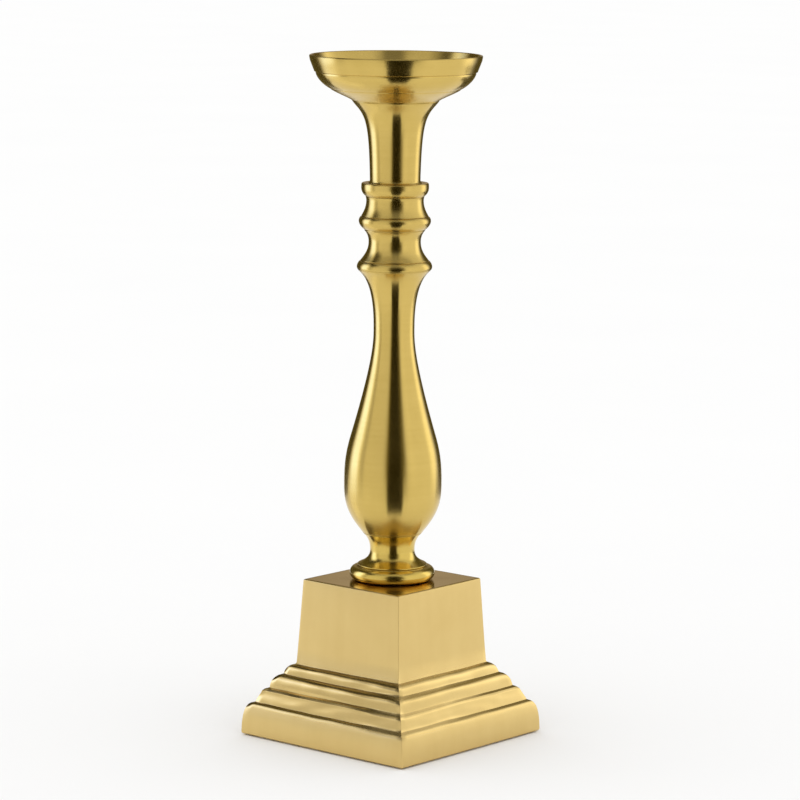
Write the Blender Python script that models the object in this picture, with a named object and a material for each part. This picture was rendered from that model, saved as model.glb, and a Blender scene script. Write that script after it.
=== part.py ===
"""Pillar candle holder: a turned brass column on a stepped square plinth, held together by one tie rod.

Run with blender --background --python part.py. Blender works in metres, +Z up. The lengths in this file are
millimetres, and millimetres() turns them into metres. Heights are measured from the bottom edge of the plinth, which
the felt pads lift LIFT above the surface that the holder stands on.
"""

import math

import bmesh
import bpy

# Overall sizes, mm.
LIFT = 1.0  # bottom edge of the plinth above the resting surface
PLINTH_HALF = 75.2  # half of the side of the square foot
PLINTH_TOP = 111.0
BLOCK_HALF_TOP = 44.3  # half of the side of the tapered block, at its top
BLOCK_HALF_FOOT = 47.6
CUP_JOINT = 448.0  # where the cup sits on the flared neck
CUP_RIM = 480.0
CUP_RIM_RADIUS = 60.2
SEAT_HEIGHT = 456.0  # floor of the cup, where the candle stands
SEAT_RADIUS = 39.5  # a candle of 76 mm has a radius of 38
GAP = 0.3  # clearance between two separate pieces

# The stack on the tie rod, mm. Each joint is the top of the piece below it.
FOOT_BEAD_TOP = 121.1
LOWER_SPOOL_TOP = 144.5
BALUSTER_TOP = 331.0
LOWER_BEAD_TOP = 337.0
LOWER_REEL_TOP = 358.6
MIDDLE_BEAD_TOP = 368.0
UPPER_REEL_TOP = 382.0
COLLAR_TOP = 391.3
ROD_RADIUS = 4.0  # M8
BORE_RADIUS = ROD_RADIUS + GAP
ROD_BOTTOM = 92.0
ROD_TOP = 461.0
SPIGOT_RADIUS = 7.0  # the short boss that centres each piece on the one below
SPIGOT_HEIGHT = 2.0

# Inside the plinth, mm.
ROOF = 107.2  # underside of the block's top wall
MOUTH_HALF = 71.4  # half of the side of the opening underneath
PLATE_HALF = 70.7
PLATE_CORNER = 5.0
PLATE_BOTTOM = 1.5
PLATE_THICK = 1.5
ACCESS_RADIUS = 15.0  # hole in the plate for the socket wrench
BOSS_SPAN = 58.0  # screw bosses stand at plus and minus this in X and Y
BOSS_RADIUS = 4.5
SCREW_RADIUS = 1.6
SCREW_HEAD_RADIUS = 3.2
SCREW_HEAD_HEIGHT = 1.6
SCREW_TIP = 16.0
PAD_SPAN = 48.0
PAD_RADIUS = 9.0
PAD_THICK = 2.2

# Hardware under the block's top wall, mm.
CLAMP_RADIUS = 14.0
CLAMP_THICK = 2.0
SPRING_RADIUS = 7.0
NUT_FLATS = 13.0
NUT_HEIGHT = 6.5

SEGMENTS = 32  # around the turned pieces
FINE_SEGMENTS = 20  # around the small hardware


def millimetres(*values):
    return tuple(value * 0.001 for value in values)


# --- outlines, as lists of (radius or half side, height) ---


def curve(start, pull_start, pull_end, end, steps):
    """A Bezier curve from start to end, both ends included."""
    points = []
    for i in range(steps + 1):
        t = i / steps
        weights = ((1 - t) ** 3, 3 * t * (1 - t) ** 2, 3 * t * t * (1 - t), t**3)
        corners = (start, pull_start, pull_end, end)
        points.append(tuple(sum(w * c[k] for w, c in zip(weights, corners)) for k in (0, 1)))
    return points


def arc(centre, radius_out, radius_up, start, end, steps):
    """Part of an ellipse, from the angle start to the angle end, in degrees."""
    angles = [math.radians(start + (end - start) * i / steps) for i in range(steps + 1)]
    return [(centre[0] + radius_out * math.cos(a), centre[1] + radius_up * math.sin(a)) for a in angles]


def spigot(top):
    """The inner corner of a piece's upper end: a short boss around the bore."""
    return [
        (SPIGOT_RADIUS, top),
        (SPIGOT_RADIUS, top + SPIGOT_HEIGHT),
        (BORE_RADIUS, top + SPIGOT_HEIGHT),
    ]


def socket(bottom):
    """The inner corner of a piece's lower end: a recess over the boss of the piece below."""
    return [
        (BORE_RADIUS, bottom + SPIGOT_HEIGHT + GAP),
        (SPIGOT_RADIUS + GAP, bottom + SPIGOT_HEIGHT + GAP),
        (SPIGOT_RADIUS + GAP, bottom),
    ]


# --- materials ---


def material(name, colour, roughness, metallic):
    made = bpy.data.materials.new(name)
    made.use_nodes = True
    shader = made.node_tree.nodes["Principled BSDF"]
    shader.inputs["Base Color"].default_value = (*colour, 1.0)
    shader.inputs["Roughness"].default_value = roughness
    shader.inputs["Metallic"].default_value = metallic
    made.diffuse_color = (*colour, 1.0)
    return made


# --- meshes ---


def add_object(name, mesh, finish, parent=None):
    obj = bpy.data.objects.new(name, mesh)
    bpy.context.collection.objects.link(obj)
    if finish:
        mesh.materials.append(finish)
    obj.parent = parent
    return obj


def finished_mesh(name, shape, smooth_below=30.0):
    """Turns a bmesh into a mesh whose faces point outwards, smooth except over sharp edges."""
    bmesh.ops.recalc_face_normals(shape, faces=shape.faces)
    mesh = bpy.data.meshes.new(name)
    shape.to_mesh(mesh)
    shape.free()
    mesh.shade_smooth()
    mesh.set_sharp_from_angle(angle=math.radians(smooth_below))
    return mesh


def ring_of(shape, radius, height, segments):
    """Vertices around the Z axis, or a single one where the radius is nothing."""
    if radius == 0:
        return [shape.verts.new(millimetres(0, 0, height))]
    turns = [2 * math.pi * i / segments for i in range(segments)]
    return [shape.verts.new(millimetres(radius * math.cos(t), radius * math.sin(t), height)) for t in turns]


def join_rings(shape, lower, upper):
    count = max(len(lower), len(upper))
    for i in range(count):
        j = (i + 1) % count
        corners = [lower[i % len(lower)], lower[j % len(lower)], upper[j % len(upper)], upper[i % len(upper)]]
        shape.faces.new(list(dict.fromkeys(corners)))


def turned_mesh(name, outline, segments=SEGMENTS):
    """Revolves an outline. It may start and end on the axis, and otherwise closes on itself around a bore."""
    shape = bmesh.new()
    rings = [ring_of(shape, radius, height, segments) for radius, height in outline]
    for lower, upper in zip(rings, rings[1:]):
        join_rings(shape, lower, upper)
    if outline[0][0] > 0:
        join_rings(shape, rings[-1], rings[0])
    return finished_mesh(name, shape)


def square_mesh(name, outline):
    """Stacks square rings of the given half sides and heights, and caps both ends."""
    shape = bmesh.new()
    rings = []
    for half, height in outline:
        corners = ((-half, -half), (half, -half), (half, half), (-half, half))
        rings.append([shape.verts.new(millimetres(x, y, height)) for x, y in corners])
    for lower, upper in zip(rings, rings[1:]):
        join_rings(shape, lower, upper)
    shape.faces.new(rings[0])
    shape.faces.new(rings[-1])
    return finished_mesh(name, shape)


def prism_mesh(name, outline, bottom, top):
    """Extrudes a flat outline of (x, y) points upwards."""
    shape = bmesh.new()
    lower = [shape.verts.new(millimetres(x, y, bottom)) for x, y in outline]
    upper = [shape.verts.new(millimetres(x, y, top)) for x, y in outline]
    join_rings(shape, lower, upper)
    shape.faces.new(lower)
    shape.faces.new(upper)
    return finished_mesh(name, shape)


def posts_mesh(name, places, radius, bottom, top):
    """Upright round posts at the given (x, y) places, in one mesh."""
    shape = bmesh.new()
    for x, y in places:
        lower = ring_of(shape, radius, bottom, FINE_SEGMENTS)
        upper = ring_of(shape, radius, top, FINE_SEGMENTS)
        join_rings(shape, lower, upper)
        shape.faces.new(lower)
        shape.faces.new(upper)
        bmesh.ops.translate(shape, verts=lower + upper, vec=millimetres(x, y, 0))
    return finished_mesh(name, shape)


def cut(target, mesh, operation="DIFFERENCE"):
    """Cuts the target with a hidden object, which is returned so that it can be cut itself."""
    cutter = add_object(mesh.name, mesh, None, target.parent)
    cutter.location = target.location
    cutter.hide_render = True
    cutter.display_type = "WIRE"
    modifier = target.modifiers.new(mesh.name, "BOOLEAN")
    modifier.operation = operation
    modifier.solver = "EXACT"
    modifier.object = cutter
    return cutter


def four_corners(span):
    return [(x, y) for y in (-span, span) for x in (-span, span)]


# --- the plinth ---


def plinth_outline():
    """Outside of the plinth, from its bottom edge up to the flat top of the block."""
    half = PLINTH_HALF
    foot = [(half - 0.6, 0.0), (half, 0.8)]
    foot += curve((half, 3.0), (half - 0.2, 13.0), (half - 1.4, 20.5), (half - 4.7, 22.2), 6)
    lower_ogee = [(68.3, 22.6)]
    lower_ogee += curve((68.2, 23.2), (67.4, 26.5), (65.4, 28.5), (65.0, 31.0), 4)
    lower_ogee += [(63.4, 32.4)]
    ovolo = [(61.0, 33.0)]
    ovolo += curve((61.0, 33.8), (60.8, 38.5), (58.8, 40.6), (56.6, 42.1), 4)
    upper_roll = [(54.1, 42.7)]
    upper_roll += curve((54.0, 43.4), (53.6, 46.4), (52.0, 48.6), (50.2, 49.4), 4)
    block = [(BLOCK_HALF_FOOT + 0.6, 50.0), (BLOCK_HALF_FOOT, 51.2)]
    block += [(BLOCK_HALF_TOP + 0.05, PLINTH_TOP - 0.6), (BLOCK_HALF_TOP - 0.5, PLINTH_TOP)]
    return foot + lower_ogee + ovolo + upper_roll + block


def plinth_hollow_outline():
    """Inside of the casting: one straight slope behind the mouldings, and a steady wall behind the block."""
    return [
        (MOUTH_HALF, -1.0),
        (MOUTH_HALF, 15.0),
        (44.3, 46.0),
        (41.0, ROOF),
    ]


def build_plinth(finish, parent):
    plinth = add_object("plinth", square_mesh("plinth", plinth_outline()), finish, parent)
    hollow = cut(plinth, square_mesh("plinth_hollow", plinth_hollow_outline()))
    bosses = posts_mesh(
        "screw_bosses", four_corners(BOSS_SPAN), BOSS_RADIUS, PLATE_BOTTOM + PLATE_THICK + GAP, ROOF + 10
    )
    cut(hollow, bosses)
    cut(plinth, posts_mesh("rod_hole", [(0, 0)], BORE_RADIUS, ROOF - 5, PLINTH_TOP + 5))
    pilots = posts_mesh("pilot_holes", four_corners(BOSS_SPAN), SCREW_RADIUS + GAP, 0.0, SCREW_TIP + 2.0)
    cut(plinth, pilots)
    return plinth


def build_base_plate(finish, parent):
    half = PLATE_HALF - PLATE_CORNER
    outline = []
    for quarter, (x, y) in enumerate(((half, half), (-half, half), (-half, -half), (half, -half))):
        outline += arc((x, y), PLATE_CORNER, PLATE_CORNER, 90 * quarter, 90 * quarter + 90, 4)
    mesh = prism_mesh("base_plate", outline, PLATE_BOTTOM, PLATE_BOTTOM + PLATE_THICK)
    plate = add_object("base_plate", mesh, finish, parent)
    cut(plate, posts_mesh("access_hole", [(0, 0)], ACCESS_RADIUS, -1.0, 5.0))
    cut(plate, posts_mesh("plate_holes", four_corners(BOSS_SPAN), SCREW_RADIUS + GAP, -1.0, 5.0))
    return plate


def screw_outline():
    """Pan head with a plain shank in place of the thread, from the head's underside up to the point."""
    seat = PLATE_BOTTOM - GAP
    head = seat - SCREW_HEAD_HEIGHT
    return [
        (0, head),
        (SCREW_HEAD_RADIUS - 0.9, head + 0.1),
        (SCREW_HEAD_RADIUS - 0.2, head + 0.6),
        (SCREW_HEAD_RADIUS, seat),
        (SCREW_RADIUS, seat),
        (SCREW_RADIUS, SCREW_TIP - 2.5),
        (0, SCREW_TIP),
    ]


def cross_outline(reach, width):
    """A plus sign, for the driver's recess."""
    r, w = reach, width / 2
    return [(r, -w), (r, w), (w, w), (w, r), (-w, r), (-w, w), (-r, w), (-r, -w), (-w, -w), (-w, -r), (w, -r), (w, -w)]


def build_base_screws(finish, parent):
    head = PLATE_BOTTOM - GAP - SCREW_HEAD_HEIGHT
    for number, (x, y) in enumerate(four_corners(BOSS_SPAN), start=1):
        name = f"base_screw_{number}"
        screw = add_object(name, turned_mesh(name, screw_outline(), 16), finish, parent)
        screw.location = millimetres(x, y, 0)
        cut(screw, prism_mesh(f"{name}_recess", cross_outline(1.7, 0.8), head - 1.0, head + 1.1))


def build_foot_pads(finish, parent):
    top = PLATE_BOTTOM - GAP
    bottom = top - PAD_THICK
    edge = 0.3
    outline = [
        (0, bottom),
        (PAD_RADIUS - edge, bottom),
        (PAD_RADIUS, bottom + edge),
        (PAD_RADIUS, top),
        (0, top),
    ]
    for number, (x, y) in enumerate(four_corners(PAD_SPAN), start=1):
        name = f"foot_pad_{number}"
        pad = add_object(name, turned_mesh(name, outline, FINE_SEGMENTS), finish, parent)
        pad.location = millimetres(x, y, 0)


# --- the column, from its foot upwards ---


def foot_bead_outline():
    bottom = PLINTH_TOP + GAP
    bead = arc((25.6, 115.9), 4.4, 4.6, -80, 76, 8)
    return [(BORE_RADIUS, bottom), *bead, (25.2, 120.8), (24.9, FOOT_BEAD_TOP), *spigot(FOOT_BEAD_TOP)]


def lower_spool_outline():
    bottom = FOOT_BEAD_TOP + GAP
    lip = [(23.9, bottom), (24.3, 121.8), (24.3, 122.2)]
    flare = curve((23.8, 122.5), (19.0, 124.5), (15.6, 126.8), (15.7, 132.5), 6)
    neck = curve((15.7, 132.5), (15.7, 140.0), (19.6, 143.0), (20.6, 144.2), 4)
    return [*lip, *flare, *neck[1:], (20.4, LOWER_SPOOL_TOP), *spigot(LOWER_SPOOL_TOP), *socket(bottom)]


def baluster_outline():
    """A hollow vase shape: its widest part low down and a slim waist under the lower bead."""
    bottom = LOWER_SPOOL_TOP + GAP
    belly_height, waist_height = 181.0, 290.5
    belly = curve((20.9, bottom), (33.9, 159.8), (34.4, 168.8), (34.4, belly_height), 6)
    shoulder = curve((34.4, belly_height), (34.4, 199.1), (31.1, 209.1), (29.1, 216.1), 3)
    slope = curve((29.1, 216.1), (13.6, 269.9), (14.3, 281.4), (14.3, waist_height), 6)
    flare = curve((14.3, waist_height), (14.3, 325.5), (24.8, 328.8), (25.6, BALUSTER_TOP), 7)
    wall_slope = curve((11.8, waist_height), (11.8, 281.4), (11.1, 269.9), (26.5, 216.1), 4)
    wall_belly = curve((26.5, 216.1), (28.5, 209.1), (31.8, 199.1), (31.8, belly_height), 2)
    wall_foot = curve((31.8, belly_height), (31.8, 168.8), (30.5, 162.0), (21.5, 153.0), 3)
    cavity = [(BORE_RADIUS, 320.0), (13.2, 320.0), *wall_slope, *wall_belly[1:], *wall_foot[1:], (BORE_RADIUS, 153.0)]
    outside = [*belly, *shoulder[1:], *slope[1:], *flare[1:], *spigot(BALUSTER_TOP)]
    return [*outside, *cavity, *socket(bottom)]


def lower_bead_outline():
    bottom = BALUSTER_TOP + GAP
    bead = curve((26.3, 332.3), (26.5, 334.0), (25.5, 335.9), (24.3, 336.9), 4)
    return [(25.8, bottom), *bead, (23.9, LOWER_BEAD_TOP), *spigot(LOWER_BEAD_TOP), *socket(bottom)]


def lower_reel_outline():
    bottom = LOWER_BEAD_TOP + GAP
    lower = curve((23.7, bottom + 0.2), (19.9, 342.2), (18.2, 345.4), (18.2, 350.4), 5)
    upper = curve((18.2, 350.4), (18.2, 354.2), (19.7, 356.6), (21.1, 358.2), 4)
    return [(23.6, bottom), *lower, *upper[1:], (21.0, LOWER_REEL_TOP), *spigot(LOWER_REEL_TOP), *socket(bottom)]


def middle_bead_outline():
    bottom = LOWER_REEL_TOP + GAP
    bead = curve((21.4, bottom + 0.1), (25.9, 362.4), (25.9, 366.0), (23.8, 367.9), 6)
    return [(21.2, bottom), *bead, (23.5, MIDDLE_BEAD_TOP), *spigot(MIDDLE_BEAD_TOP), *socket(bottom)]


def upper_reel_outline():
    bottom = MIDDLE_BEAD_TOP + GAP
    lower = curve((23.3, bottom + 0.2), (21.0, 372.6), (20.0, 375.4), (20.0, 379.0), 5)
    upper = curve((20.0, 379.0), (20.0, 380.2), (20.2, 381.0), (20.5, 381.8), 2)
    return [(23.1, bottom), *lower, *upper[1:], (20.3, UPPER_REEL_TOP), *spigot(UPPER_REEL_TOP), *socket(bottom)]


def collar_ring_outline():
    bottom = UPPER_REEL_TOP + GAP
    side = curve((20.8, bottom + 0.1), (22.9, 384.2), (23.6, 386.0), (23.6, 388.4), 4)
    top_edge = [(23.5, 390.6), (23.1, COLLAR_TOP)]
    return [(20.5, bottom), *side, *top_edge, *spigot(COLLAR_TOP), *socket(bottom)]


def flared_neck_outline():
    """A hollow trumpet: nearly straight at first, then opening out to carry the cup."""
    bottom = COLLAR_TOP + GAP
    bend_height = 431.0
    shank = curve((17.6, 393.0), (17.9, 408.0), (18.5, 423.0), (20.4, bend_height), 4)
    trumpet = curve((20.4, bend_height), (22.6, 441.1), (26.9, 443.6), (29.9, CUP_JOINT - 0.2), 6)
    cavity = [(BORE_RADIUS, 439.5), (20.0, 439.5), (17.6, bend_height), (15.4, 414.0), (15.0, 396.0), (BORE_RADIUS, 396.0)]
    outside = [(18.9, bottom), (17.9, 392.2), *shank, *trumpet[1:], (29.7, CUP_JOINT), *spigot(CUP_JOINT)]
    return [*outside, *cavity, *socket(bottom)]


def candle_cup_outline():
    """The bowl: a curved underside, a nearly conical band up to the rim, and a flat floor with a centre recess."""
    bottom = CUP_JOINT + GAP
    under = curve((30.2, bottom + 0.2), (32.6, 450.4), (39.9, 453.0), (44.8, 455.9), 5)
    groove = [(44.9, 456.2), (45.4, 456.5)]
    side = curve((45.4, 456.5), (50.2, 459.0), (54.3, 463.0), (55.7, 467.0), 5)
    band = [(56.0, 467.3), (56.2, 468.6), (56.7, 469.0), (58.3, 473.0), (59.7, 476.4), (CUP_RIM_RADIUS, 479.2)]
    rim = [(59.9, 479.8), (59.3, CUP_RIM), (58.5, 479.6)]
    inner_wall = curve((54.6, 470.0), (51.8, 463.0), (46.6, 457.6), (SEAT_RADIUS, SEAT_HEIGHT), 4)
    recess = [(13.0, SEAT_HEIGHT), (13.0, 452.5), (BORE_RADIUS, 452.5)]
    return [(30.2, bottom), *under, *groove, *side[1:], *band, *rim, *inner_wall, *recess, *socket(bottom)]


def build_column(finishes, parent):
    satin, polished = finishes["satin_brass"], finishes["polished_brass"]
    pieces = (
        ("foot_bead", foot_bead_outline, polished),
        ("lower_spool", lower_spool_outline, polished),
        ("baluster", baluster_outline, satin),
        ("lower_bead", lower_bead_outline, satin),
        ("lower_reel", lower_reel_outline, satin),
        ("middle_bead", middle_bead_outline, satin),
        ("upper_reel", upper_reel_outline, satin),
        ("collar_ring", collar_ring_outline, satin),
        ("flared_neck", flared_neck_outline, satin),
        ("candle_cup", candle_cup_outline, satin),
    )
    for name, outline, finish in pieces:
        add_object(name, turned_mesh(name, outline()), finish, parent)


# --- what holds the stack together ---


def washer_outline(radius, bottom, thick):
    return [(BORE_RADIUS, bottom), (radius, bottom), (radius, bottom + thick), (BORE_RADIUS, bottom + thick)]


def build_tie_rod(finish, parent):
    chamfer = 0.8
    outline = [
        (0, ROD_BOTTOM),
        (ROD_RADIUS - chamfer, ROD_BOTTOM),
        (ROD_RADIUS, ROD_BOTTOM + chamfer),
        (ROD_RADIUS, ROD_TOP - chamfer),
        (ROD_RADIUS - chamfer, ROD_TOP),
        (0, ROD_TOP),
    ]
    add_object("tie_rod", turned_mesh("tie_rod", outline, FINE_SEGMENTS), finish, parent)


def build_rod_hardware(finish, parent):
    """Clamp washer, split spring washer and hexagon nut, downwards from the block's top wall."""
    clamp_bottom = ROOF - GAP - CLAMP_THICK
    clamp = turned_mesh("clamp_washer", washer_outline(CLAMP_RADIUS, clamp_bottom, CLAMP_THICK), FINE_SEGMENTS)
    add_object("clamp_washer", clamp, finish, parent)

    spring_bottom = clamp_bottom - GAP - 2.0
    ring = turned_mesh("spring_washer", washer_outline(SPRING_RADIUS, spring_bottom, 2.0), FINE_SEGMENTS)
    spring = add_object("spring_washer", ring, finish, parent)
    slit = [(2.0, -0.6), (9.0, -0.1), (9.0, 1.1), (2.0, 0.6)]
    cut(spring, prism_mesh("spring_slit", slit, spring_bottom - 1.0, spring_bottom + 3.0))

    top = spring_bottom - GAP
    bottom = top - NUT_HEIGHT
    corner = NUT_FLATS / math.sqrt(3)
    outline = [
        (BORE_RADIUS + 0.5, bottom),
        (corner - 0.9, bottom),
        (corner + 0.2, bottom + 0.7),
        (corner + 0.2, top - 0.7),
        (corner - 0.9, top),
        (BORE_RADIUS + 0.5, top),
        (BORE_RADIUS, top - 0.5),
        (BORE_RADIUS, bottom + 0.5),
    ]
    nut = add_object("rod_nut", turned_mesh("rod_nut", outline, FINE_SEGMENTS), finish, parent)
    hexagon = [(corner * math.cos(math.pi * i / 3), corner * math.sin(math.pi * i / 3)) for i in range(6)]
    cut(nut, prism_mesh("nut_hexagon", hexagon, bottom - 1.0, top + 1.0), "INTERSECT")


def build_pricket(finishes, parent):
    """The washer in the cup's recess, and the spike that screws down on it over the end of the rod."""
    floor = 452.5 + GAP
    washer = washer_outline(11.0, floor, 1.2)
    add_object("cup_washer", turned_mesh("cup_washer", washer, FINE_SEGMENTS), finishes["steel"], parent)
    bottom = floor + 1.2 + GAP
    flange_top = SEAT_HEIGHT - 0.2
    outline = [
        (BORE_RADIUS, bottom),
        (10.5, bottom),
        (10.5, flange_top - 0.4),
        (10.1, flange_top),
        (7.0, flange_top),
        (6.1, flange_top + 0.9),
        (5.5, ROD_TOP + 1.0),
        (0.6, 473.0),
        (0, 473.6),
        (0, ROD_TOP + 2.0),
        (BORE_RADIUS, ROD_TOP + GAP),
    ]
    shape = bmesh.new()
    rings = [ring_of(shape, radius, height, FINE_SEGMENTS) for radius, height in outline]
    for lower, upper in zip(rings, rings[1:]):
        if len(lower) > 1 or len(upper) > 1:
            join_rings(shape, lower, upper)
    join_rings(shape, rings[-1], rings[0])
    add_object("pricket", finished_mesh("pricket", shape), finishes["polished_brass"], parent)


def main():
    for obj in list(bpy.data.objects):
        bpy.data.objects.remove(obj)
    finishes = {
        "satin_brass": material("satin_brass", (0.72, 0.52, 0.24), 0.32, 1.0),
        "plinth_brass": material("plinth_brass", (0.76, 0.57, 0.30), 0.34, 1.0),
        "polished_brass": material("polished_brass", (0.76, 0.50, 0.20), 0.22, 1.0),
        "steel": material("steel", (0.60, 0.60, 0.62), 0.38, 1.0),
        "felt": material("felt", (0.05, 0.045, 0.04), 0.95, 0.0),
    }
    stand = bpy.data.objects.new("stand", None)
    bpy.context.collection.objects.link(stand)
    stand.location = millimetres(0, 0, LIFT)
    build_plinth(finishes["plinth_brass"], stand)
    build_base_plate(finishes["steel"], stand)
    build_base_screws(finishes["steel"], stand)
    build_foot_pads(finishes["felt"], stand)
    build_column(finishes, stand)
    build_tie_rod(finishes["steel"], stand)
    build_rod_hardware(finishes["steel"], stand)
    build_pricket(finishes, stand)


main()
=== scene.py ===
"""Looks of the pillar candle holder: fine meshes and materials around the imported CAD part, in a pale studio.

An outline is a list of (radius or half side, height) in millimetres. Heights count from the lowest point
of the CAD node that the piece stands for, so each piece goes where the frame says.
"""

import math

import bmesh
import bpy
from mathutils import Matrix, Vector, noise


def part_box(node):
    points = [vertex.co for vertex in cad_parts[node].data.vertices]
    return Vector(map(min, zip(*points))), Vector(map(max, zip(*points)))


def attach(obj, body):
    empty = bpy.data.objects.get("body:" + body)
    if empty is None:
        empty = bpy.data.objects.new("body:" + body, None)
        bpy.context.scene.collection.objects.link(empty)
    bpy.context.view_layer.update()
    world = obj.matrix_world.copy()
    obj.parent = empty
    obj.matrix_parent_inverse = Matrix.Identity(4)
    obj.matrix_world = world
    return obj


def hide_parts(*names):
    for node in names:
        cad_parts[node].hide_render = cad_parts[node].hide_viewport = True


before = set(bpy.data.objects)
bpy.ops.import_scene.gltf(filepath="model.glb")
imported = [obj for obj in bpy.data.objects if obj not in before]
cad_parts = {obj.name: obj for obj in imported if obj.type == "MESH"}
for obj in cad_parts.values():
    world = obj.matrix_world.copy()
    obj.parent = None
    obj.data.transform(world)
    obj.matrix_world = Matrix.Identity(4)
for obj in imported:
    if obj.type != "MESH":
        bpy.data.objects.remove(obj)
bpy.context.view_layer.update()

MM = 0.001

# The column, in millimetres.
TURNS = 160  # segments round a turned piece
FINE_TURNS = 48  # segments round the small hardware
BORE = 4.3
SPIGOT_RADIUS, SPIGOT_HEIGHT, GAP = 7.0, 2.0, 0.3
ARRIS = 0.16  # rounding of the turned edges
JOINT_FILL = 0.27  # how far a piece reaches down into the gap below it
SEAM_REACH = 0.35  # how far the tarnish and painted shade spread from a joint
THREAD_RADIUS, THREAD_DEPTH, THREAD_PITCH, THREAD_LENGTH = 4.0, 0.65, 1.25, 26.0

# The plinth, in millimetres.
PLINTH_HEIGHT = 111.0
PLINTH_ARRIS = 0.45
PLINTH_CORNER = 0.3
SLAB_EDGE, BLOCK_EDGE = 19.0, 53.0  # the mouldings lie between these heights
STEP_HEIGHTS = (22.5, 32.8, 42.6, 50.1)  # where tarnish and painted shade gather
SOFTENING = 3.0  # reach of the hand finishing along the outline
FRONT_CORNER, WEAR_RADIUS = (70.0, -70.0), 58.0  # where hand finishing has worn the mouldings most
HOLLOW_TOP = 107.2  # underside of the block's top wall
SIDE_STEPS, CORNER_STEPS = 28, 5  # points along a side and round a corner

# Brass: main colour, second tone, and the dark colour of tarnish and painted shade.
SATIN_TONES = ((0.68, 0.49, 0.14), (0.63, 0.45, 0.12), (0.20, 0.13, 0.03))
POLISHED_TONES = ((0.71, 0.52, 0.13), (0.66, 0.47, 0.11), (0.24, 0.15, 0.03))
CAST_TONES = ((0.74, 0.545, 0.215), (0.70, 0.505, 0.19), (0.28, 0.18, 0.05))

# The camera, from the perspective of the plinth's edges and the cup's rim.
AZIMUTH = 40.86  # degrees; 0 looks along +Y
DISTANCE = 2.502  # metres from the axis of the column
CAMERA_HEIGHT = 0.618
PITCH, YAW, ROLL = 8.600, 0.105, 0.460  # degrees down, off the column, and over
LENS, SENSOR = 162.34, 36.0  # millimetres

# The studio: what the brass reflects, by direction in degrees from the camera's side, positive to its right.
TENT_RADIUS, TENT_HEIGHT, CEILING_HEIGHT = 1.2, 1.95, 2.0
TENT_GAIN = 4.0  # strength of the panels, whose colours stay below 1
DARK_TINT, DARK_BELOW = (1.0, 0.84, 0.25), 0.3  # the dark panels are brown
COOL_TINT, COOL_ABOVE = (0.64, 0.75, 1.20), 1.9  # the brightest panel is daylight
BACK_TINT = (1.0, 0.84, 0.62)
WORLD_STRENGTH = 1.1
CEILING_CENTRE, CEILING_EDGE = 0.90, 0.40  # brightness
MIDDLE_FROM, MIDDLE_TO = 0.92, 1.08  # heights between which the low panels give way to the middle ones
HIGH_FROM, HIGH_TO = 1.15, 1.45
TENT_LOW = (
    (-180, 0.44),
    (-165, 0.12),
    (-141, 0.08),
    (-129, 0.10),
    (-122, 0.90),
    (-116, 2.20),
    (-111, 2.70),
    (-97, 2.70),
    (-89, 1.15),
    (-84, 0.72),
    (-77, 0.62),
    (-70, 0.92),
    (-27, 0.85),
    (-20, 0.66),
    (-14, 0.20),
    (-10, 0.03),
    (14, 0.02),
    (20, 0.05),
    (26, 0.14),
    (30, 0.38),
    (37, 0.95),
    (47, 1.06),
    (60, 1.00),
    (97, 1.02),
    (110, 1.60),
    (120, 1.60),
    (127, 1.00),
    (135, 0.32),
    (142, 0.10),
    (162, 0.10),
    (180, 0.44),
)
TENT_MIDDLE = (
    (-180, 0.30),
    (-155, 0.15),
    (-140, 0.02),
    (-117, 0.02),
    (-112, 1.20),
    (-99, 1.20),
    (-93, 0.03),
    (-78, 0.03),
    (-66, 0.70),
    (-20, 0.75),
    (-14, 0.20),
    (-11, 0.02),
    (16, 0.02),
    (30, 0.30),
    (38, 0.90),
    (100, 0.95),
    (125, 1.00),
    (135, 0.25),
    (180, 0.40),
)
TENT_HIGH = (
    (-180, 0.29),
    (-145, 0.20),
    (-130, 0.05),
    (-76, 0.04),
    (-56, 0.80),
    (-18, 0.80),
    (-8, 0.30),
    (18, 0.30),
    (28, 0.85),
    (130, 0.80),
    (180, 0.29),
)
# Sheets just over the floor: a dark cloth in front, painted shadow at the foot of the dark panels on either
# side, and a painted pool of light before the brightest panel. For each: first and last direction, nearest
# distance, brightness.
CLOTH_HEIGHT = 0.003
DARK_CLOTHS_AND_PAINTED_SHADOWS = {
    "front": (-14, 24, 0.19, 0.02),
    "right": (120, 162, 0.80, 0.08),
    "left": (-162, -132, 0.75, 0.08),
}
GLOW = (-122, -98, 0.22, 1.15)


# --- outlines ---


def curve(start, pull_start, pull_end, end, steps=20):
    """A Bezier curve from start to end, both ends included."""
    points = []
    for i in range(steps + 1):
        t = i / steps
        weights = ((1 - t) ** 3, 3 * t * (1 - t) ** 2, 3 * t * t * (1 - t), t**3)
        corners = (start, pull_start, pull_end, end)
        points.append(tuple(sum(w * c[k] for w, c in zip(weights, corners)) for k in (0, 1)))
    return points


def arc(centre, radius_out, radius_up, start, end, steps=24):
    """Part of an ellipse, from the angle start to the angle end, in degrees."""
    angles = [math.radians(start + (end - start) * i / steps) for i in range(steps + 1)]
    return [(centre[0] + radius_out * math.cos(a), centre[1] + radius_up * math.sin(a)) for a in angles]


def spigot(top):
    """The inner corner of a piece's upper end: a short boss around the bore."""
    return [(SPIGOT_RADIUS, top), (SPIGOT_RADIUS, top + SPIGOT_HEIGHT), (BORE, top + SPIGOT_HEIGHT)]


def socket():
    """The inner corner of a piece's lower end: a recess over the boss of the piece below."""
    depth, radius = SPIGOT_HEIGHT + GAP, SPIGOT_RADIUS + GAP
    return [(BORE, depth), (radius, depth), (radius, 0.0)]


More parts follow.
